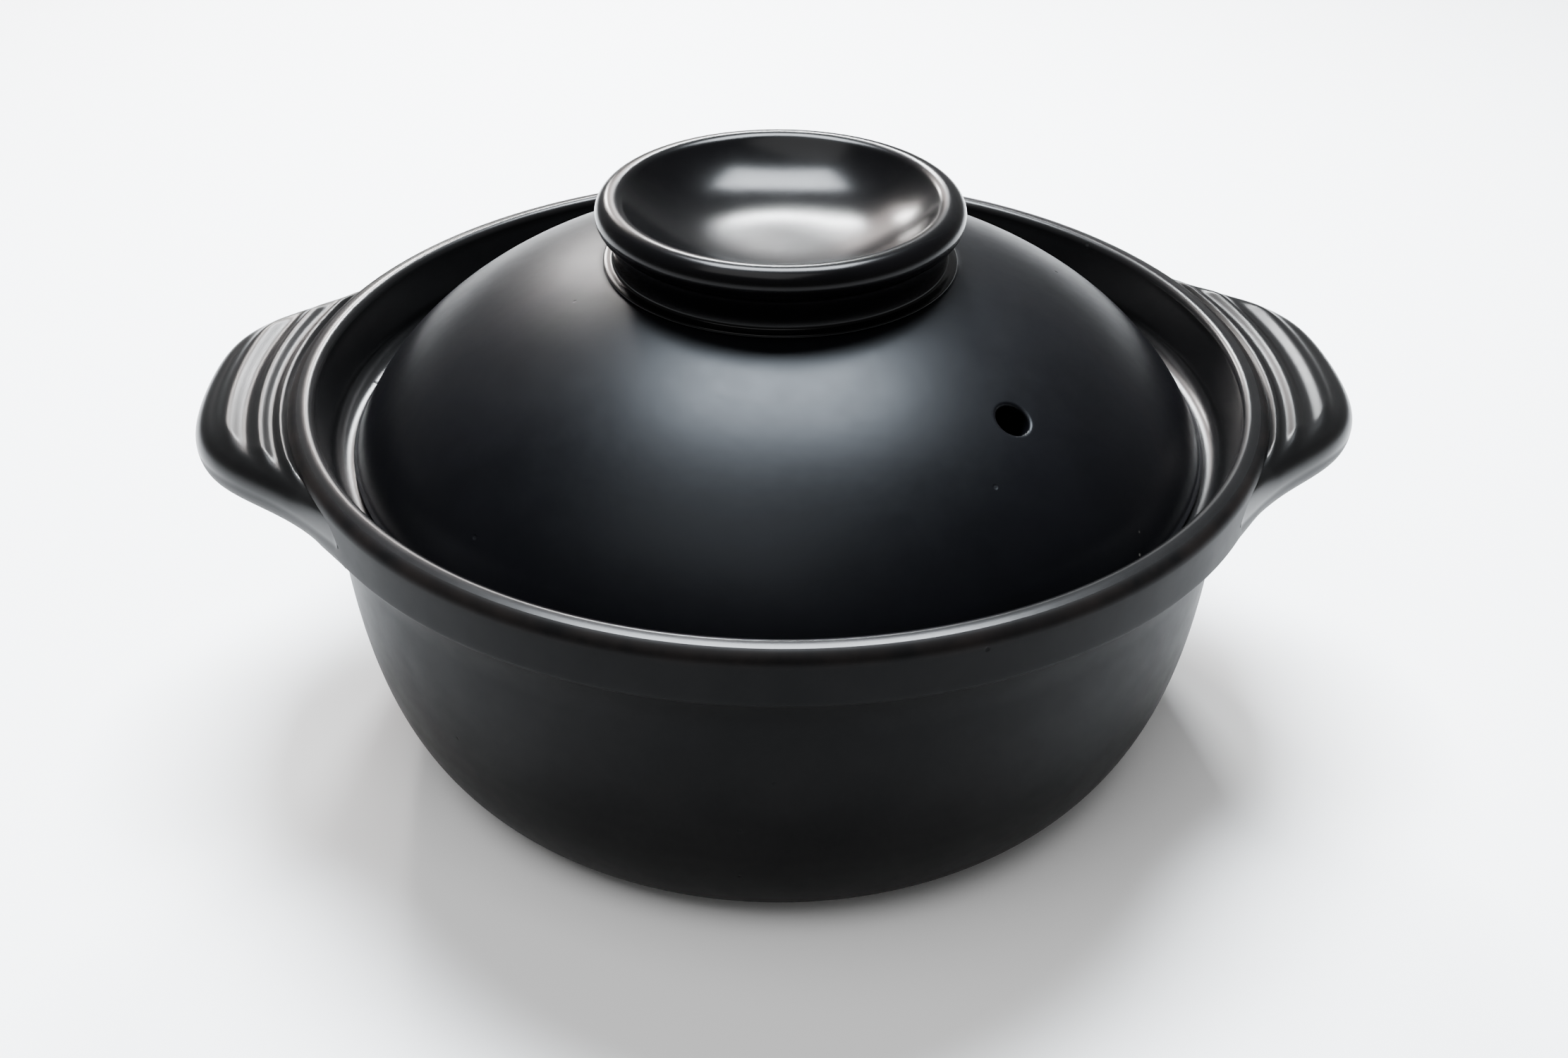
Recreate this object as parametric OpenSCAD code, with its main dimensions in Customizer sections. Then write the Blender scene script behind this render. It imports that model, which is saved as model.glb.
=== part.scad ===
// Lidded clay casserole: a deep bowl with a stepped collar and two ribbed lugs, and a domed lid
// that drops onto a ledge inside the rim. Lengths are in mm. +Z is up, the lugs lie along X, and
// the origin is the centre of the face that the pot stands on.

/* [Pot] */
// Height of the rim's crest above the table
rim_h = 98; // [94:1:104]
// Outer radius of the collar and rim
rim_r = 120; // [118:0.5:124]
// Thickness of the rim
rim_t = 6.6; // [5.5:0.1:7.5]
// Height of the collar, from its lower edge to the rim's crest
collar_h = 14; // [12:0.5:15]
// Largest outer radius of the belly under the collar
belly_r = 111.7; // [109:0.1:113]
// Outer radius of the flat that the pot stands on
foot_r = 82; // [74:1:88]
// Width of the ring that touches the table
foot_ring_w = 12; // [8:1:18]
// Depth of the hollow inside the foot ring
foot_recess = 1.5; // [1:0.1:2.5]
// Thickness of the belly's wall
wall_t = 8; // [6.5:0.5:9]
// Thickness of the floor above the foot's hollow
floor_t = 8; // [6:0.5:10]

/* [Ledge] */
// Depth of the ledge under the rim's crest
ledge_depth = 17.5; // [16.5:0.5:19]
// Radius of the mouth inside the ledge
mouth_r = 101.5; // [100.5:0.1:102]

/* [Handles] */
// How far a lug reaches beyond the collar
lug_reach = 22.5; // [16:0.5:28]
// Angle from a lug's middle to where it has half its reach
lug_half_angle = 19.3; // [16:0.1:20.5]
// Thickness of a lug without its ribs
lug_t = 11.5; // [8:0.5:12]
// Height of the ribs on a lug
rib_h = 1.6; // [0.8:0.1:2]

/* [Lid] */
// Radius of the lid's edge
lid_r = 106; // [104.5:0.5:107]
// Semi-axis of the dome's elliptic outline along the radius
dome_a = 109; // [108:0.5:111]
// Semi-axis of the dome's elliptic outline along the height
dome_b = 66; // [60:1:70]
// Thickness of the dome along the radius
dome_t = 7; // [6:0.5:8]
// Outer radius of the locating ring under the lid
ring_r = 99; // [97:0.5:99.5]
// Depth of the locating ring under the lid's seat
ring_depth = 5; // [3:0.5:7]

/* [Steam vent] */
// Radius of the steam vent
vent_r = 4; // [3:0.25:5]
// Distance of the vent's mouth from the lid's axis
vent_dist = 75; // [65:1:85]
// Direction of the vent seen from above, from +X
vent_angle = -50; // [-180:1:180]

/* [Knob] */
// Radius of the knob's foot, where it sits on the dome
knob_foot_r = 42.6; // [41:0.1:45]
// Radius of the circle that the bead's centre follows
bead_path_r = 40.4; // [38:0.1:42]
// Radius of the bead round the knob's dish
bead_r = 3.6; // [2.8:0.1:3.8]
// Height of the bead's centre above the knob's foot
bead_h = 12.9; // [12:0.1:16]
// Thickness of the dish's floor at its centre
dish_floor_t = 4.5; // [3.5:0.1:6]

/* [Hidden] */
$fn = 180;

glaze = [0.10, 0.10, 0.11];
lid_glaze = [0.07, 0.07, 0.085];

// heights and radii that follow from the sizes above
rim_in_r = rim_r - rim_t;
rim_round = 2.6;
collar_z = rim_h - collar_h;
ledge_z = rim_h - ledge_depth;
ledge_round = 2.5;
gallery_r = rim_in_r - 2.6;
flare_z = rim_h - 29;
flare_w = 3.6;
collar_round = 1.6;
floor_z = foot_recess + floor_t;
belly_crown_z = collar_z;
cavity_crown_z = ledge_z - 6;
cavity_r = belly_r - wall_t;
cavity_floor_r = foot_r + 3;

// superellipse exponents of the belly's outline
belly_p = 2.7;
belly_q = 2.2;

// centre of the dome's ellipse, so that its outline meets the lid's edge just above the ledge
edge_h = 1.4;
edge_r = lid_r - 0.6;
dome_z = ledge_z + edge_h - dome_b * sqrt(1 - pow(edge_r / dome_a, 2));
knob_z = dome_z + dome_b * sqrt(1 - pow(knob_foot_r / dome_a, 2));
dome_in_a = dome_a - dome_t;
dome_in_b = knob_z - 3.7 - dome_z;
ring_in_r = ring_r - 5;

bead_z = knob_z + bead_h;
dish_r = bead_path_r - bead_r * sin(45);
dish_z = knob_z + dish_floor_t;
dish_top = bead_z + bead_r * cos(45);
dish_power = dish_r / (dish_top - dish_z);

lug_span = 33;
lug_top = rim_h - 3;
lug_edge = 1.5;
rib_radii = [rim_r + 1.6, rim_r + 6.3, rim_r + 13.4];
rib_widths = [1.5, 2.8, 3.6];
rib_angles = [24, 19, 13];

// points on an arc of radius r about (cx, cz), from angle a0 to a1 in n steps
function arc(cx, cz, r, a0, a1, n) =
    [for (i = [0:n]) let (a = a0 + (a1 - a0) * i / n) [cx + r * cos(a), cz + r * sin(a)]];

// radius at height z of a superellipse that is foot wide at height z0 and crown wide at z1
function belly(z, z0, z1, foot, crown) =
    foot + (crown - foot) * pow(1 - pow((z1 - z) / (z1 - z0), belly_p), 1 / belly_q);

// a belly's outline from height z0 up to z_end, with closer points near the foot
function belly_line(z0, z1, z_end, foot, crown, n) =
    [for (i = [0:n]) let (z = z0 + (z_end - z0) * pow(i / n, 2)) [belly(z, z0, z1, foot, crown), z]];

// points on an ellipse about (0, cz), from radius r0 to r1 in n steps of equal angle
function ellipse_line(a, b, cz, r0, r1, n) =
    let (t0 = acos(r0 / a), t1 = acos(r1 / a))
    [for (i = [0:n]) let (t = t0 + (t1 - t0) * i / n) [a * cos(t), cz + b * sin(t)]];

function reversed(p) = [for (i = [len(p) - 1:-1:0]) p[i]];

flare_r = belly(flare_z, 0, belly_crown_z, foot_r, belly_r);

// the belly turns outwards in a soft curve to carry the ledge
flare_line = [for (i = [1:5]) let (u = i / 5)
    [flare_r + flare_w * u * u, flare_z + (collar_z - 1.5 - flare_z) * u]];

outer_line = concat(
    [[0, foot_recess], [foot_r - foot_ring_w - 1.5, foot_recess], [foot_r - foot_ring_w, 0]],
    belly_line(0, belly_crown_z, flare_z, foot_r, belly_r, 18),
    flare_line,
    arc(rim_r - collar_round, collar_z + collar_round, collar_round, -70, 0, 4)
);

rim_line = concat(
    arc(rim_r - rim_round, rim_h - rim_round, rim_round, 0, 80, 6),
    arc(rim_in_r + rim_round, rim_h - rim_round, rim_round, 100, 180, 6)
);

ledge_line = concat(
    arc(gallery_r - ledge_round, ledge_z + ledge_round, ledge_round, 0, -90, 5),
    arc(mouth_r + 1, ledge_z - 1, 1, 90, 180, 3)
);

cavity_line = concat(
    reversed(belly_line(floor_z, cavity_crown_z, cavity_crown_z - 8, cavity_floor_r, cavity_r, 16)),
    [[0, floor_z]]
);

module pot_bowl() {
    color(glaze)
        rotate_extrude() polygon(concat(outer_line, rim_line, ledge_line, cavity_line));
}

// share of a lug's reach at angle a from its middle: a bell that falls to 0 at the lug's end
function bell(a) = 1 / (1 + pow(abs(a) / lug_half_angle, 4.5));
function lug_share(a) = (bell(a) - bell(lug_span)) / (1 - bell(lug_span));

// plan of a lug, pulled in by inset from its outer outline
module lug_plan(inset) {
    outer = [for (a = [-lug_span:2:lug_span])
        let (r = max(rim_r - 4, rim_r - inset + lug_reach * lug_share(a))) [r * cos(a), r * sin(a)]];
    polygon(concat([[(rim_r - 12), 0]], outer));
}

module lug_layer(z, h, inset) {
    translate([0, 0, z]) linear_extrude(h) lug_plan(inset);
}

module lug_rib(r, w, a) {
    rotate([0, 0, -a]) rotate_extrude(angle = 2 * a)
        translate([r, lug_top]) intersection() {
            scale([w, rib_h]) circle(1, $fn = 24);
            translate([-w, -0.5]) square([2 * w, rib_h + 1]);
        }
}

// the lug on the +X side: three stacked layers round its edge, then the ribs on its top
module lug() {
    difference() {
        union() {
            lug_layer(lug_top - lug_t, lug_edge, lug_edge);
            lug_layer(lug_top - lug_t + lug_edge, lug_t - 2 * lug_edge, 0);
            lug_layer(lug_top - lug_edge, lug_edge, lug_edge);
            for (i = [0:len(rib_radii) - 1]) lug_rib(rib_radii[i], rib_widths[i], rib_angles[i]);
        }
        translate([0, 0, -1]) cylinder(r = rim_r, h = 2 * rim_h);
    }
}

module handle_right() {
    color(glaze) lug();
}

module handle_left() {
    color(glaze) rotate([0, 0, 180]) lug();
}

dome_line = concat(
    [[0, knob_z]],
    ellipse_line(dome_a, dome_b, dome_z, knob_foot_r, edge_r, 20),
    arc(lid_r - edge_h, ledge_z + edge_h, edge_h, 0, -90, 4),
    [[ring_r, ledge_z]],
    arc(ring_r - 1, ledge_z - ring_depth + 1, 1, 0, -90, 3),
    arc(ring_in_r + 1, ledge_z - ring_depth + 1, 1, -90, -180, 3),
    reversed(ellipse_line(dome_in_a, dome_in_b, dome_z, 0, ring_in_r, 20))
);

// the vent is drilled square to the dome's surface
vent_z = dome_z + dome_b * sqrt(1 - pow(vent_dist / dome_a, 2));
vent_tilt = atan2(vent_dist / pow(dome_a, 2), (vent_z - dome_z) / pow(dome_b, 2));

module lid_dome() {
    color(lid_glaze) difference() {
        rotate_extrude() polygon(dome_line);
        rotate([0, 0, vent_angle]) translate([vent_dist, 0, vent_z])
            rotate([0, vent_tilt, 0]) cylinder(r = vent_r, h = 40, center = true, $fn = 48);
    }
}

// outline of the knob: foot, fillet, neck, a faint ridge under the bead, the bead, then the dish
knob_line = concat(
    [[0, knob_z]],
    [[knob_foot_r - 0.2, knob_z], [knob_foot_r + 0.2, knob_z + 0.6], [knob_foot_r - 0.1, knob_z + 1.5]],
    [for (i = [1:4]) let (u = i / 4) [knob_foot_r - 0.1 - 2.5 * sqrt(1 - pow(1 - u, 2)),
                                      knob_z + 1.5 + 2.6 * (1 - sqrt(1 - u * u))]],
    [[bead_path_r + 0.4, bead_z - 5.4], [bead_path_r + 0.9, bead_z - 4.4], [bead_path_r + 1.5, bead_z - 3.6]],
    arc(bead_path_r, bead_z, bead_r, -48, 135, 12),
    [for (i = [1:14]) let (u = 1 - i / 14)
        [dish_r * u, dish_z + (dish_top - dish_z) * pow(u, dish_power)]]
);

module lid_knob() {
    color(lid_glaze) rotate_extrude() polygon(knob_line);
}

pot_bowl();
handle_left();
handle_right();
lid_dome();
lid_knob();
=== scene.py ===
import math

import bmesh
import bpy
from mathutils import Matrix, Vector


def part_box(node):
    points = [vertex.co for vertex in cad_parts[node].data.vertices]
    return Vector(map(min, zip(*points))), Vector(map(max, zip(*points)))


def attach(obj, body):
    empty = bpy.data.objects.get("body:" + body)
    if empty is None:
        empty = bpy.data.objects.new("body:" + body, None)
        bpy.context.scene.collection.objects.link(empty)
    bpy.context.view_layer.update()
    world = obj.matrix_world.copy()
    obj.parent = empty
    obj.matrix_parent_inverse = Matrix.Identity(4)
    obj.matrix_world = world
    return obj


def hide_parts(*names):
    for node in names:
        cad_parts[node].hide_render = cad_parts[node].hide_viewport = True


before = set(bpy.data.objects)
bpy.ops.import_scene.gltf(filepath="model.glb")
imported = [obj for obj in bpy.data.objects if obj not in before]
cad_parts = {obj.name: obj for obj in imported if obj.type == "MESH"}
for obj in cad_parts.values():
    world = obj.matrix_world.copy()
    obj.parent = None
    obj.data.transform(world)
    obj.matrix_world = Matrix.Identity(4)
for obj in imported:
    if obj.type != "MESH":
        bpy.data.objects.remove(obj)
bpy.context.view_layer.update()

MM = 0.001

# ---------------------------------------------------------------- driving dimensions, in metres
bowl_lo, bowl_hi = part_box("pot_bowl")
lug_lo, lug_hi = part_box("handle_right")
lid_lo, lid_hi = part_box("lid_dome")
knob_lo, knob_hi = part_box("lid_knob")

RIM_R = bowl_hi.x
RIM_H = bowl_hi.z
RIM_T = 6.6 * MM
RIM_IN_R = RIM_R - RIM_T
COLLAR_Z = RIM_H - 14 * MM
LEDGE_Z = RIM_H - 17.5 * MM
FLARE_Z = RIM_H - 29 * MM
FLARE_W = 3.6 * MM
BELLY_R = 111.7 * MM
BELLY_P, BELLY_Q = 2.7, 2.2
FOOT_R = 82 * MM
FOOT_W = 12 * MM
RECESS = 1.5 * MM
WALL = 8 * MM
FLOOR_Z = RECESS + 8 * MM
MOUTH_R = 101.5 * MM
GALLERY_R = RIM_IN_R - 2.6 * MM

LUG_REACH = lug_hi.x - RIM_R
LUG_TOP = RIM_H - 3 * MM
LUG_T = LUG_TOP - lug_lo.z
LUG_HALF = math.radians(19.3)
LUG_SPAN = math.radians(33)
LUG_POWER = 4.5
LUG_TOP_EDGE = 5.0 * MM
LUG_UNDER_EDGE = 3.4 * MM
# middle and half width of each rib, beyond the rim
RIBS = [(1.4 * MM, 1.2 * MM), (6.2 * MM, 2.0 * MM), (13.6 * MM, 2.9 * MM)]
RIB_H = 1.5 * MM
BORDER = 2.4 * MM
BORDER_SLOPE = 5.0 * MM

LID_R = lid_hi.x
EDGE_H = 1.4 * MM
EDGE_R = LID_R - 0.6 * MM
KNOB_Z = knob_lo.z
DOME_A = 109 * MM
DOME_B = 66 * MM
DOME_Z = LEDGE_Z + EDGE_H - DOME_B * math.sqrt(1 - (EDGE_R / DOME_A) ** 2)
DOME_IN_A = DOME_A - 7 * MM
DOME_IN_B = KNOB_Z - 3.7 * MM - DOME_Z
RING_R = 99 * MM
RING_IN_R = RING_R - 5 * MM
RING_Z = lid_lo.z

VENT_R = 4 * MM
VENT_DIST = 75 * MM
VENT_ANGLE = math.radians(-50)

KNOB_FOOT_R = 42.6 * MM
BEAD_R = 4.0 * MM
BEAD_PATH_R = knob_hi.x - BEAD_R
BEAD_Z = knob_hi.z - BEAD_R
DISH_R = BEAD_PATH_R - BEAD_R * math.sin(math.radians(45))
DISH_TOP = BEAD_Z + BEAD_R * math.cos(math.radians(45))
DISH_Z = KNOB_Z + 4.5 * MM

SEGMENTS = 288


# ---------------------------------------------------------------- outline helpers
def smooth(x):
    x = min(1.0, max(0.0, x))
    return x * x * (3 - 2 * x)


def arc(cx, cz, r, a0, a1, n):
    """Points on an arc about (cx, cz) from angle a0 to a1, in degrees."""
    steps = [math.radians(a0 + (a1 - a0) * i / n) for i in range(n + 1)]
    return [(cx + r * math.cos(a), cz + r * math.sin(a)) for a in steps]


def belly(z, z0, z1, foot, crown):
    """Radius at height z of a superellipse that is foot wide at z0 and crown wide at z1."""
    share = 1 - ((z1 - z) / (z1 - z0)) ** BELLY_P
    return foot + (crown - foot) * share ** (1 / BELLY_Q)


def belly_line(z0, z1, z_end, foot, crown, n):
    """The belly from z0 up to z_end, with closer points near the foot."""
    zs = [z0 + (z_end - z0) * (i / n) ** 2 for i in range(n + 1)]
    return [(belly(z, z0, z1, foot, crown), z) for z in zs]


def ellipse_line(a, b, cz, r0, r1, n):
    """Points on an ellipse about (0, cz), from radius r0 to r1 in n steps of equal angle."""
    t0, t1 = math.acos(r0 / a), math.acos(r1 / a)
    steps = [t0 + (t1 - t0) * i / n for i in range(n + 1)]
    return [(a * math.cos(t), cz + b * math.sin(t)) for t in steps]


def evened(line, step):
    """The line with no piece longer than step, so that smooth shading follows the shape."""
    out = [line[0]]
    for a, b in zip(line, line[1:]):
        n = max(1, math.ceil(math.dist(a, b) / step))
        if math.dist(a, b) > 1e-6:
            for i in range(1, n + 1):
                out.append((a[0] + (b[0] - a[0]) * i / n, a[1] + (b[1] - a[1]) * i / n))
    return out


# ---------------------------------------------------------------- mesh helpers
def make_piece(name, verts, faces, body, slot, nodes, *materials):
    """One smooth closed mesh that rides on a body in place of its CAD nodes."""
    mesh = bpy.data.meshes.new(name)
    mesh.from_pydata(verts, [], faces)
    tidy = bmesh.new()
    tidy.from_mesh(mesh)
    loose = [v for v in tidy.verts if not v.link_faces]
    bmesh.ops.delete(tidy, geom=loose, context="VERTS")
    bmesh.ops.recalc_face_normals(tidy, faces=tidy.faces)
    tidy.to_mesh(mesh)
    tidy.free()
    mesh.polygons.foreach_set("use_smooth", [True] * len(mesh.polygons))
    for material in materials:
        mesh.materials.append(material)
    mesh.update()
    obj = bpy.data.objects.new(name, mesh)
    bpy.context.scene.collection.objects.link(obj)
    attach(obj, body)
    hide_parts(*nodes)
    return obj


def add_rings(verts, line, shape=None):
    """Adds one ring of vertices for each point of a line, and returns the rings' vertex numbers."""
    rings = []
    for r, z in line:
        if r < 1e-7:
            rings.append([len(verts)] * SEGMENTS)
            verts.append((0.0, 0.0, z))
            continue
        rings.append(list(range(len(verts), len(verts) + SEGMENTS)))
        for j in range(SEGMENTS):
            a = 2 * math.pi * j / SEGMENTS
            dr, dz = shape(a, r, z) if shape else (0.0, 0.0)
            verts.append(((r + dr) * math.cos(a), (r + dr) * math.sin(a), z + dz))
    return rings


def skin(faces, rings, hole=None):
    """Quads between neighbouring rings. hole is (first ring, last ring, first column, last column)."""
    for i, (a, b) in enumerate(zip(rings, rings[1:])):
        for j in range(SEGMENTS):
            if hole and hole[0] <= i < hole[1] and hole[2] <= j < hole[3]:
                continue
            k = (j + 1) % SEGMENTS
            quad = [a[j], a[k], b[k], b[j]]
            face = [v for n, v in enumerate(quad) if v != quad[n - 1]]
            if len(face) > 2:
                faces.append(face)


# ---------------------------------------------------------------- bowl
def bowl_outline():
    """The bowl's outline in two lines: the outside up to the shoulder, and the crest and inside."""
    flare_r = belly(FLARE_Z, 0, COLLAR_Z, FOOT_R, BELLY_R)
    flare = []
    for i in range(1, 17):
        u = i / 16
        flare.append((flare_r + FLARE_W * u * u, FLARE_Z + (COLLAR_Z - 1.5 * MM - FLARE_Z) * u))
    foot = [(0, RECESS), (FOOT_R - FOOT_W - 1.6 * MM, RECESS)]
    foot += arc(FOOT_R - FOOT_W + 0.4 * MM, 0.6 * MM, 0.6 * MM, 200, 270, 4)
    outer = belly_line(0, COLLAR_Z, FLARE_Z, FOOT_R, BELLY_R, 60) + flare
    collar = arc(RIM_R - 1.6 * MM, COLLAR_Z + 1.6 * MM, 1.6 * MM, -70, 0, 9)
    shoulder = arc(RIM_R - 3.1 * MM, RIM_H - 3.4 * MM, 3.1 * MM, 0, 78, 14)
    crest = arc(RIM_IN_R + 2.3 * MM, RIM_H - 2.3 * MM, 2.3 * MM, 92, 180, 12)
    gallery = arc(GALLERY_R - 4.7 * MM, LEDGE_Z + 4.7 * MM, 4.7 * MM, 0, -90, 14)
    mouth = arc(MOUTH_R + 1 * MM, LEDGE_Z - 1 * MM, 1 * MM, 90, 180, 6)
    crown = LEDGE_Z - 6 * MM
    cavity = belly_line(FLOOR_Z, crown, crown - 8 * MM, FOOT_R + 3 * MM, BELLY_R - WALL, 50)[::-1]
    outside = foot + outer + collar + shoulder
    return outside, [outside[-1]] + crest + gallery + mouth + cavity + [(0, FLOOR_Z)]


def throwing_marks(a, r, z):
    """Faint turning marks on the wall, and a rim that isn't quite true."""
    wall = math.exp(-((z - 0.42 * RIM_H) / (0.26 * RIM_H)) ** 4)
    mark = 0.008 * MM * wall * math.sin(2 * math.pi * z / (6.5 * MM) + a)
    mark += 0.05 * MM * wall * math.sin(2 * a + 9 * z / RIM_H)
    rim = max(0.0, (z - LEDGE_Z) / (RIM_H - LEDGE_Z))
    return mark, -0.08 * MM * rim * (1 + math.sin(3 * a + 0.8))


def build_bowl(outside_glaze, inside_glaze):
    verts, faces = [], []
    outside, inside = bowl_outline()
    rings = add_rings(verts, evened(outside, 1.6 * MM), throwing_marks)
    skin(faces, rings)
    outer_faces = len(faces)
    skin(faces, rings[-1:] + add_rings(verts, evened(inside, 1.6 * MM)[1:], throwing_marks))
    glazes = outside_glaze, inside_glaze
    bowl = make_piece("pot_bowl_glazed", verts, faces, "pot", "pot_glaze", ["pot_bowl"], *glazes)
    for face in bowl.data.polygons[outer_faces:]:
        face.material_index = 1
    return bowl


# ---------------------------------------------------------------- lugs
def bell(a):
    """Share of a lug's reach at angle a from its middle."""
    return 1 / (1 + (abs(a) / LUG_HALF) ** LUG_POWER)


def lug_out(a):
    """Outer radius of a lug at angle a."""
    share = (bell(a) - bell(LUG_SPAN)) / (1 - bell(LUG_SPAN))
    return RIM_R + LUG_REACH * max(0.0, share)


def lug_relief(r, d):
    """Height of the three soft ribs inside a lug's plain border."""
    field = smooth((d - BORDER) / BORDER_SLOPE)
    return RIB_H * field * sum(math.exp(-((r - RIM_R - at) / w) ** 2) for at, w in RIBS)


def lug_section(a):
    """One closed section of a lug at angle a from its middle, as (r, z) points."""
    out = lug_out(a)
    slope = (lug_out(a + 0.004) - lug_out(a - 0.004)) / 0.008 / out
    fall = 1 / math.sqrt(1 + slope * slope)
    inner = RIM_R - 3.4 * MM
    half = LUG_T / 2
    mid = LUG_TOP - half
    width = out - inner
    top, under = [], []
    root = (out - RIM_R + 1.2 * MM) * fall
    top_edge = min(LUG_TOP_EDGE, max(0.4 * MM, root))
    under_edge = min(LUG_UNDER_EDGE, max(0.4 * MM, root))
    n = 64
    for i in range(n + 1):
        s = i / n
        t = 1 - (1 - s) ** 1.7
        r = inner + width * t
        d = (out - r) * fall
        x = 1 - min(1.0, d / top_edge)
        z = mid + half * math.sqrt(max(0.0, 1 - x ** 2.3)) + lug_relief(r, d)
        top.append((r, z))
        x = 1 - min(1.0, d / under_edge)
        z = mid - half * math.sqrt(max(0.0, 1 - x ** 2.4))
        # the fillet where the lug was luted to the collar
        z -= 1.6 * MM * math.exp(-max(0.0, r - RIM_R) / (1.4 * MM)) * smooth(d / (3 * MM))
        under.append((r, z))
    return top + under[-2::-1]


def build_lug(side, material):
    """The lug at +X for side 1 or at -X for side -1, as a row of closed sections."""
    verts, faces, sections = [], [], []
    count = 150
    for i in range(count + 1):
        a = LUG_SPAN * 1.02 * (2 * i / count - 1)
        ring = []
        for r, z in lug_section(a):
            ring.append(len(verts))
            verts.append((side * r * math.cos(a), side * r * math.sin(a), z))
        sections.append(ring)
    for a, b in zip(sections, sections[1:]):
        for k in range(len(a)):
            n = (k + 1) % len(a)
            faces.append([a[k], b[k], b[n], a[n]])
    faces.append(sections[0])
    faces.append(sections[-1][::-1])
    name = "handle_right" if side > 0 else "handle_left"
    return make_piece(name + "_glazed", verts, faces, "pot", "handle_glaze", [name], material)


# ---------------------------------------------------------------- lid
class Vent:
    """The steam vent's own axes: the point where it meets the dome, and the way it is drilled."""

    def __init__(self):
        z = DOME_B * math.sqrt(1 - (VENT_DIST / DOME_A) ** 2)
        along = Vector((math.cos(VENT_ANGLE), math.sin(VENT_ANGLE), 0))
        self.centre = along * VENT_DIST + Vector((0, 0, DOME_Z + z))
        up = along * (VENT_DIST / DOME_A**2) + Vector((0, 0, z / DOME_B**2))
        self.n = up.normalized()
        self.u = Vector((-math.sin(VENT_ANGLE), math.cos(VENT_ANGLE), 0))
        self.v = self.n.cross(self.u)

    def flat(self, p):
        q = Vector(p) - self.centre
        return q.dot(self.u), q.dot(self.v)

    def onto(self, x, y, a, b):
        """The point on the ellipsoid (a, b) that lies straight over (x, y) along the vent's axis."""
        p = self.centre + self.u * x + self.v * y - Vector((0, 0, DOME_Z))
        n = self.n
        qa = (n.x**2 + n.y**2) / a**2 + n.z**2 / b**2
        qb = 2 * ((p.x * n.x + p.y * n.y) / a**2 + p.z * n.z / b**2)
        qc = (p.x**2 + p.y**2) / a**2 + p.z**2 / b**2 - 1
        w = (-qb + math.sqrt(qb * qb - 4 * qa * qc)) / (2 * qa)
        return p + n * w + Vector((0, 0, DOME_Z))


def vent_block(line, vent_r, half):
    """The rings and columns of the dome's grid that the vent's fine rings take the place of."""
    near = min(range(len(line)), key=lambda i: abs(line[i][0] - vent_r))
    column = round((VENT_ANGLE % (2 * math.pi)) / (2 * math.pi) * SEGMENTS)
    return near - half, near + half, column - half, column + half


def block_loop(rings, block):
    """The boundary of a block of the grid, from its first ring and column, once round."""
    i0, i1, j0, j1 = block
    way = 1 if i1 > i0 else -1
    loop = [rings[i0][j] for j in range(j0, j1)]
    loop += [rings[i][j1] for i in range(i0, i1, way)]
    loop += [rings[i1][j] for j in range(j1, j0, -1)]
    loop += [rings[i][j0] for i in range(i1, i0, -way)]
    return loop


def vent_rings(verts, vent, loop, a, b, edge, inward):
    """Rings from the block's boundary to the vent's rounded edge, all on the dome's own surface."""
    rings = [loop]
    start = [vent.flat(verts[k]) for k in loop]
    turn = [math.atan2(y, x) for x, y in start]
    steps = [(VENT_R + edge, t / 8) for t in range(1, 9)]
    steps = [(r, smooth(t) * 0.35 + t * 0.65, 0.0) for r, t in steps]
    for i in range(1, 8):
        q = math.radians(90 * i / 7)
        steps.append((VENT_R + edge * (1 - math.sin(q)), 1.0, edge * (1 - math.cos(q))))
    for r, t, sink in steps:
        ring = []
        for (x, y), q in zip(start, turn):
            px, py = x + (r * math.cos(q) - x) * t, y + (r * math.sin(q) - y) * t
            p = vent.onto(px, py, a, b) + vent.n * (inward * sink)
            ring.append(len(verts))
            verts.append(tuple(p))
        rings.append(ring)
    return rings


def loft(faces, rings):
    for a, b in zip(rings, rings[1:]):
        for k in range(len(a)):
            n = (k + 1) % len(a)
            faces.append([a[k], a[n], b[n], b[k]])


def dome_outlines():
    """The dome's outline in three lines: its top, the seat with the locating ring, and the inside."""
    top = [(0, KNOB_Z - 0.3 * MM), (KNOB_FOOT_R - 2 * MM, KNOB_Z - 0.3 * MM)]
    top = evened(top, 4 * MM) + ellipse_line(DOME_A, DOME_B, DOME_Z, KNOB_FOOT_R, EDGE_R, 62)
    seat = arc(LID_R - EDGE_H, LEDGE_Z + EDGE_H, EDGE_H, 0, -90, 8)
    seat += [(RING_R + 0.2 * MM, LEDGE_Z)]
    seat += arc(RING_R - 1 * MM, RING_Z + 1 * MM, 1 * MM, 0, -90, 5)
    seat += arc(RING_IN_R + 1 * MM, RING_Z + 1 * MM, 1 * MM, -90, -180, 5)
    inside = ellipse_line(DOME_IN_A, DOME_IN_B, DOME_Z, 0, RING_IN_R, 75)[::-1]
    return top, evened(seat, 1.5 * MM), inside


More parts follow.
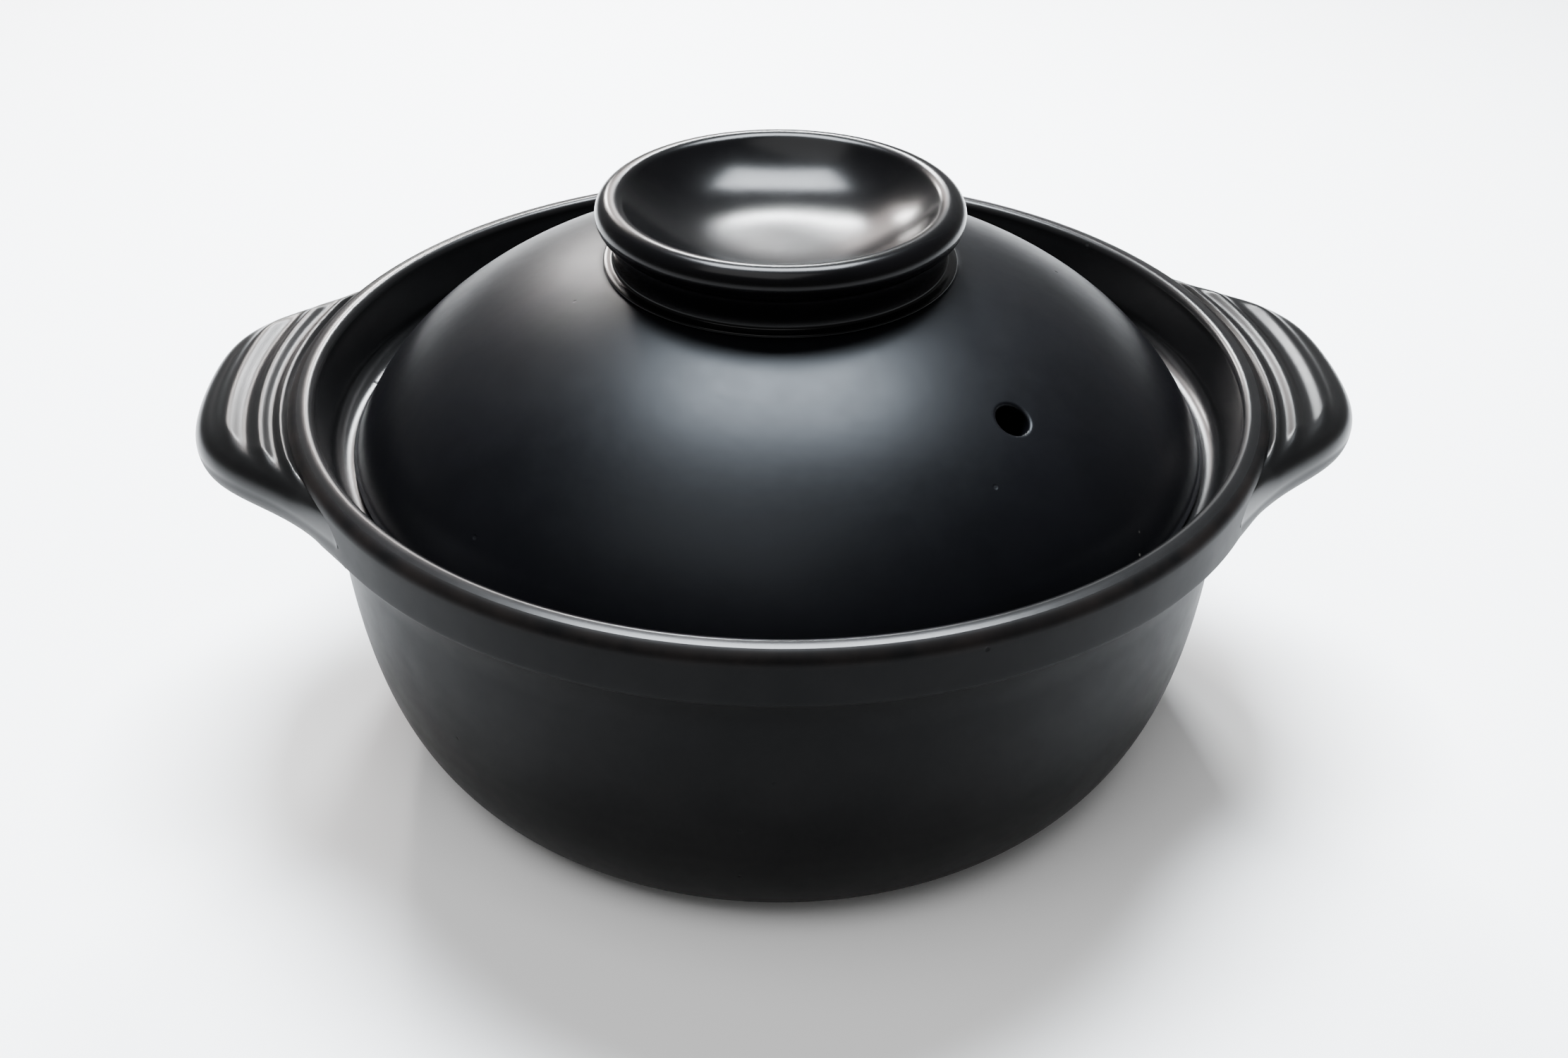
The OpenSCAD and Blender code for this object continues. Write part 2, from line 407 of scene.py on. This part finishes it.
def build_dome(material):
    top, seat, inside = dome_outlines()
    vent = Vent()
    verts, faces = [], []
    half = 5
    rings_top = add_rings(verts, top)
    top_block = vent_block(top, VENT_DIST, half)
    skin(faces, rings_top, top_block)
    rings_seat = add_rings(verts, seat)
    rings_in = add_rings(verts, inside)
    through = vent.centre - vent.n * (DOME_A - DOME_IN_A)
    in_block = vent_block(inside, math.hypot(through.x, through.y), half)
    in_block = (in_block[0], in_block[1], top_block[2], top_block[3])
    skin(faces, [rings_top[-1]] + rings_seat + [rings_in[0]])
    skin(faces, rings_in, in_block)
    outer = vent_rings(verts, vent, block_loop(rings_top, top_block), DOME_A, DOME_B, 0.9 * MM, -1)
    loop_in = block_loop(rings_in, (in_block[1], in_block[0], in_block[2], in_block[3]))
    inner = vent_rings(verts, vent, loop_in, DOME_IN_A, DOME_IN_B, 0.5 * MM, 1)
    bore = []
    for i in range(1, 6):
        ring = []
        for p, q in zip(outer[-1], inner[-1]):
            ring.append(len(verts))
            verts.append(tuple(Vector(verts[p]).lerp(Vector(verts[q]), i / 6)))
        bore.append(ring)
    loft(faces, outer + bore + inner[::-1])
    return make_piece("lid_dome_glazed", verts, faces, "lid", "lid_glaze", ["lid_dome"], material)


def knob_outline():
    """The knob's foot, fillet and neck, the bead round its rim, then the dish down to the middle."""
    line = [(0, KNOB_Z)]
    line += arc(KNOB_FOOT_R - 0.5 * MM, KNOB_Z + 0.3 * MM, 0.5 * MM, -90, 60, 7)
    neck_r = KNOB_FOOT_R - 2.6 * MM
    for i in range(1, 11):
        u = i / 10
        line.append((KNOB_FOOT_R - 0.4 * MM - 2.2 * MM * math.sqrt(1 - (1 - u) ** 2),
                     KNOB_Z + 0.8 * MM + 1.8 * MM * (1 - math.sqrt(1 - u * u))))
    for i in range(1, 13):
        u = i / 12
        line.append((neck_r + (BEAD_PATH_R + 0.9 * MM - neck_r) * smooth(u),
                     KNOB_Z + 2.6 * MM + (BEAD_Z - 4.1 * MM - KNOB_Z - 2.6 * MM) * u))
    line += arc(BEAD_PATH_R, BEAD_Z, BEAD_R, -66, 135, 38)
    power = DISH_R / (DISH_TOP - DISH_Z)
    for i in range(1, 45):
        u = 1 - i / 44
        line.append((DISH_R * u, DISH_Z + (DISH_TOP - DISH_Z) * u**power))
    return line


def build_knob(material):
    verts, faces = [], []
    skin(faces, add_rings(verts, evened(knob_outline(), 1.5 * MM)))
    return make_piece("lid_knob_glazed", verts, faces, "lid", "knob_glaze", ["lid_knob"], material)


# ---------------------------------------------------------------- materials
class Nodes:
    """A short way to write a material's nodes."""

    def __init__(self, name):
        self.material = bpy.data.materials.new(name)
        self.material.use_nodes = True
        self.tree = self.material.node_tree
        self.shader = self.tree.nodes["Principled BSDF"]
        self.place = self.tree.nodes.new("ShaderNodeTexCoord").outputs["Object"]

    def add(self, kind, ins=(), **settings):
        node = self.tree.nodes.new("ShaderNode" + kind)
        for key, value in settings.items():
            setattr(node, key, value)
        for key, value in dict(ins).items():
            if hasattr(value, "node"):
                self.tree.links.new(value, node.inputs[key])
            else:
                node.inputs[key].default_value = value
        return node

    def noise(self, size, detail=2.0, rough=0.5):
        ins = {"Vector": self.place, "Scale": 1 / size, "Detail": detail, "Roughness": rough}
        return self.add("TexNoise", ins).outputs["Fac"]

    def spots(self, size, reach, keep):
        """Small round marks about size apart, of which keep is the share that shows."""
        node = self.add("TexVoronoi", {"Vector": self.place, "Scale": 1 / size})
        near = self.span(node.outputs["Distance"], reach, reach * 0.35)
        pick = self.add("SeparateColor", {"Color": node.outputs["Color"]}).outputs["Red"]
        return self.math("MULTIPLY", near, self.span(pick, keep, keep * 0.8))

    def math(self, operation, a, b=0.0):
        return self.add("Math", {0: a, 1: b}, operation=operation).outputs[0]

    def span(self, value, low, high, to_low=0.0, to_high=1.0):
        ins = {"Value": value, "From Min": low, "From Max": high, "To Min": to_low, "To Max": to_high}
        return self.add("MapRange", ins, interpolation_type="SMOOTHSTEP").outputs["Result"]

    def mix(self, share, a, b):
        node = self.add("Mix", data_type="RGBA")
        for key, value in ((0, share), (6, a), (7, b)):
            if hasattr(value, "node"):
                self.tree.links.new(value, node.inputs[key])
            else:
                node.inputs[key].default_value = value
        return node.outputs[2]

    def bump(self, height, depth, under=None):
        node = self.add("Bump", {"Height": height, "Strength": 1.0, "Distance": depth})
        if under is not None:
            self.tree.links.new(under, node.inputs["Normal"])
        return node.outputs["Normal"]

    def finish(self, colour, roughness, normal, **constants):
        for key, value in (("Base Color", colour), ("Roughness", roughness), ("Normal", normal)):
            self.tree.links.new(value, self.shader.inputs[key])
        for key, value in constants.items():
            self.shader.inputs[key.replace("_", " ")].default_value = value
        return self.material


def grey(level, blue=1.0, red=1.0):
    return (level * red, level, level * blue, 1.0)


def glaze(name, level, tint, rough, orange_peel, specks):
    """Black glaze: cloudy in tone, slightly uneven in gloss, with a soft orange-peel and pinholes."""
    m = Nodes(name)
    cloud = m.noise(26 * MM, 4.0, 0.6)
    fine = m.noise(0.9 * MM, 3.0, 0.6)
    dark, light = grey(level * 0.8, tint), grey(level * 1.25, tint * 0.98, 1.03)
    colour = m.mix(m.span(cloud, 0.3, 0.75), dark, light)
    pits = m.spots(7 * MM, 0.11, specks)
    pale = m.spots(11 * MM, 0.05, specks)
    colour = m.mix(m.math("MULTIPLY", pale, 0.5), colour, grey(0.12, 0.9, 1.05))
    uneven = m.noise(9 * MM, 3.0, 0.65)
    rough = m.span(uneven, 0.2, 0.8, rough * 0.94, rough * 1.06)
    rough = m.math("ADD", rough, m.math("MULTIPLY", fine, 0.015))
    rough = m.math("ADD", rough, m.math("MULTIPLY", pits, 0.25))
    peel = m.bump(m.noise(4.2 * MM, 2.0, 0.4), orange_peel)
    skin_bump = m.bump(fine, 0.0015 * MM, peel)
    normal = m.bump(m.math("MULTIPLY", pits, -1.0), 0.10 * MM, skin_bump)
    return m, colour, rough, normal


def height_mask(m, low, high):
    z = m.add("SeparateXYZ", {"Vector": m.place}).outputs["Z"]
    return m.span(z, low, high)


def radius_mask(m, low, high):
    flat = m.add("VectorMath", {0: m.place, 1: (1, 1, 0)}, operation="MULTIPLY").outputs[0]
    length = m.add("VectorMath", {0: flat}, operation="LENGTH").outputs["Value"]
    return m.span(length, low, high)


def pot_material():
    m, colour, rough, normal = glaze("pot_satin_black_glaze", 0.0024, 1.04, 0.44, 0.02 * MM, 0.06)
    worn = m.span(m.noise(13 * MM, 3.0, 0.6), 0.3, 0.65)
    # the glaze breaks a little brown where it thins on the rim's shoulder
    high = height_mask(m, RIM_H - 4.6 * MM, RIM_H - 2.4 * MM)
    shoulder = m.math("MULTIPLY", high, radius_mask(m, RIM_R - 3.2 * MM, RIM_R - 1.0 * MM))
    share = m.math("MULTIPLY", shoulder, m.math("MULTIPLY", worn, 0.3))
    colour = m.mix(share, colour, (0.010, 0.0072, 0.006, 1))
    # bare clay under the foot ring
    bare = m.math("SUBTRACT", 1.0, height_mask(m, 0.5 * MM, 1.3 * MM))
    grain = m.noise(1.4 * MM, 5.0, 0.7)
    clay = m.mix(grain, (0.20, 0.135, 0.09, 1), (0.36, 0.265, 0.19, 1))
    colour = m.mix(bare, colour, clay)
    rough = m.math("MAXIMUM", rough, m.math("MULTIPLY", bare, 0.88))
    return m.finish(colour, rough, normal, Specular_IOR_Level=0.028)


def pot_inside_material():
    name = "pot_inside_gloss_black_glaze"
    m, colour, rough, normal = glaze(name, 0.0022, 1.06, 0.24, 0.015 * MM, 0.05)
    return m.finish(colour, rough, normal, Specular_IOR_Level=0.16)


def handle_material():
    m, colour, rough, normal = glaze("handle_gloss_black_glaze", 0.0024, 1.02, 0.29, 0.004 * MM, 0.06)
    # the photo shows the lug's sides darker than its top, so they get less gloss
    gloss = height_mask(m, LUG_TOP - 8 * MM, LUG_TOP - 3 * MM)
    rough = m.math("MAXIMUM", rough, m.span(gloss, 0, 1, 0.55, 0.0))
    return m.finish(colour, rough, normal, Specular_IOR_Level=0.09)


def lid_material():
    m, colour, rough, normal = glaze("lid_satin_black_glaze", 0.0008, 1.5, 0.38, 0.02 * MM, 0.05)
    # bare clay where the lid rests on the ledge
    seat = m.math("SUBTRACT", 1.0, height_mask(m, LEDGE_Z + 0.3 * MM, LEDGE_Z + 0.9 * MM))
    grain = m.noise(1.4 * MM, 5.0, 0.7)
    clay = m.mix(grain, (0.17, 0.115, 0.08, 1), (0.32, 0.235, 0.17, 1))
    colour = m.mix(seat, colour, clay)
    rough = m.math("MAXIMUM", rough, m.math("MULTIPLY", seat, 0.85))
    tint = (0.86, 0.93, 1.0, 1.0)
    return m.finish(colour, rough, normal, Specular_IOR_Level=0.086, Specular_Tint=tint)


def knob_material():
    m, colour, rough, normal = glaze("knob_gloss_black_glaze", 0.0009, 1.2, 0.20, 0.010 * MM, 0.05)
    return m.finish(colour, rough, normal, Specular_IOR_Level=0.085)


def floor_material():
    m = Nodes("floor_pale")
    tone = m.mix(m.noise(400 * MM, 2.0), grey(0.90), grey(0.92))
    normal = m.bump(m.noise(2 * MM, 2.0), 0.01 * MM)
    rough = m.span(m.noise(30 * MM), 0.3, 0.7, 0.75, 0.85)
    return m.finish(tone, rough, normal, Specular_IOR_Level=0.2)


# ---------------------------------------------------------------- studio
def build_floor(material):
    """A plain floor that curves up into a wall far behind the pot."""
    size, bend, r = 4.0, 2.2, 1.2
    mesh = bpy.data.meshes.new("floor")
    rise = [(-size, 0.0), (bend, 0.0)] + arc(bend, r, r, -84, 0, 14) + [(bend + r, size)]
    verts = [(x, y, z - 0.2 * MM) for y, z in rise for x in (-size, size)]
    faces = [(2 * i, 2 * i + 1, 2 * i + 3, 2 * i + 2) for i in range(len(rise) - 1)]
    mesh.from_pydata(verts, [], faces)
    mesh.polygons.foreach_set("use_smooth", [True] * len(mesh.polygons))
    mesh.materials.append(material)
    obj = bpy.data.objects.new("floor", mesh)
    bpy.context.scene.collection.objects.link(obj)


def area_light(name, place, target, width, depth, power, tint=(1, 1, 1)):
    data = bpy.data.lights.new(name, "AREA")
    data.shape = "RECTANGLE"
    data.size, data.size_y = width, depth
    data.energy = power
    data.color = tint
    obj = bpy.data.objects.new(name, data)
    obj.location = place
    obj.rotation_euler = (Vector(target) - Vector(place)).to_track_quat("-Z", "Y").to_euler()
    bpy.context.scene.collection.objects.link(obj)


def light_studio():
    aim = (0, 0, RIM_H * 0.8)
    area_light("top", (0.02, 0.30, 1.05), aim, 0.60, 0.32, 84, (0.88, 0.94, 1.0))
    area_light("top_back", (0.0, 0.90, 0.70), aim, 0.20, 0.04, 16, (0.95, 0.98, 1.0))
    area_light("left", (-0.31, 0.98, 0.50), aim, 0.07, 0.14, 6, (1.0, 0.97, 0.95))
    area_light("back_left", (-0.20, 0.96, 0.60), aim, 0.46, 0.28, 5.5, (1.0, 0.88, 0.84))
    area_light("front_fill", (-0.4, -0.7, 1.9), aim, 1.6, 1.2, 30)
    world = bpy.data.worlds.new("studio")
    bpy.context.scene.world = world
    world.use_nodes = True
    background = world.node_tree.nodes["Background"].inputs
    background["Color"].default_value = (1, 1, 1, 1)
    background["Strength"].default_value = 0.34


def build_camera():
    """A 40 mm view from 28 degrees above the rim, turned a little: the right lug is further back."""
    distance, rise = 442.3 * MM, math.radians(28.23)
    turn, yaw, pitch, roll = (math.radians(d) for d in (-3.3, 0.24, 33.73, 0.65))
    data = bpy.data.cameras.new("camera")
    data.sensor_width, data.lens = 36.0, 40.49
    data.clip_start, data.clip_end = 0.01, 50
    cam = bpy.data.objects.new("camera", data)
    place = Vector((0, -distance * math.cos(rise), distance * math.sin(rise) + RIM_H))
    ahead = Vector((math.sin(yaw) * math.cos(pitch), math.cos(yaw) * math.cos(pitch), -math.sin(pitch)))
    level = Vector((math.cos(yaw), -math.sin(yaw), 0))
    up = level.cross(ahead)
    right = level * math.cos(roll) + up * math.sin(roll)
    up = right.cross(ahead)
    pose = Matrix((right, up, -ahead)).transposed().to_4x4()
    pose.translation = place
    cam.matrix_world = Matrix.Rotation(turn, 4, "Z") @ pose
    bpy.context.scene.collection.objects.link(cam)
    bpy.context.scene.camera = cam


# ---------------------------------------------------------------- build
build_camera()
light_studio()
build_floor(floor_material())
build_bowl(pot_material(), pot_inside_material())
handle_glaze = handle_material()
build_lug(1, handle_glaze)
build_lug(-1, handle_glaze)
build_dome(lid_material())
build_knob(knob_material())
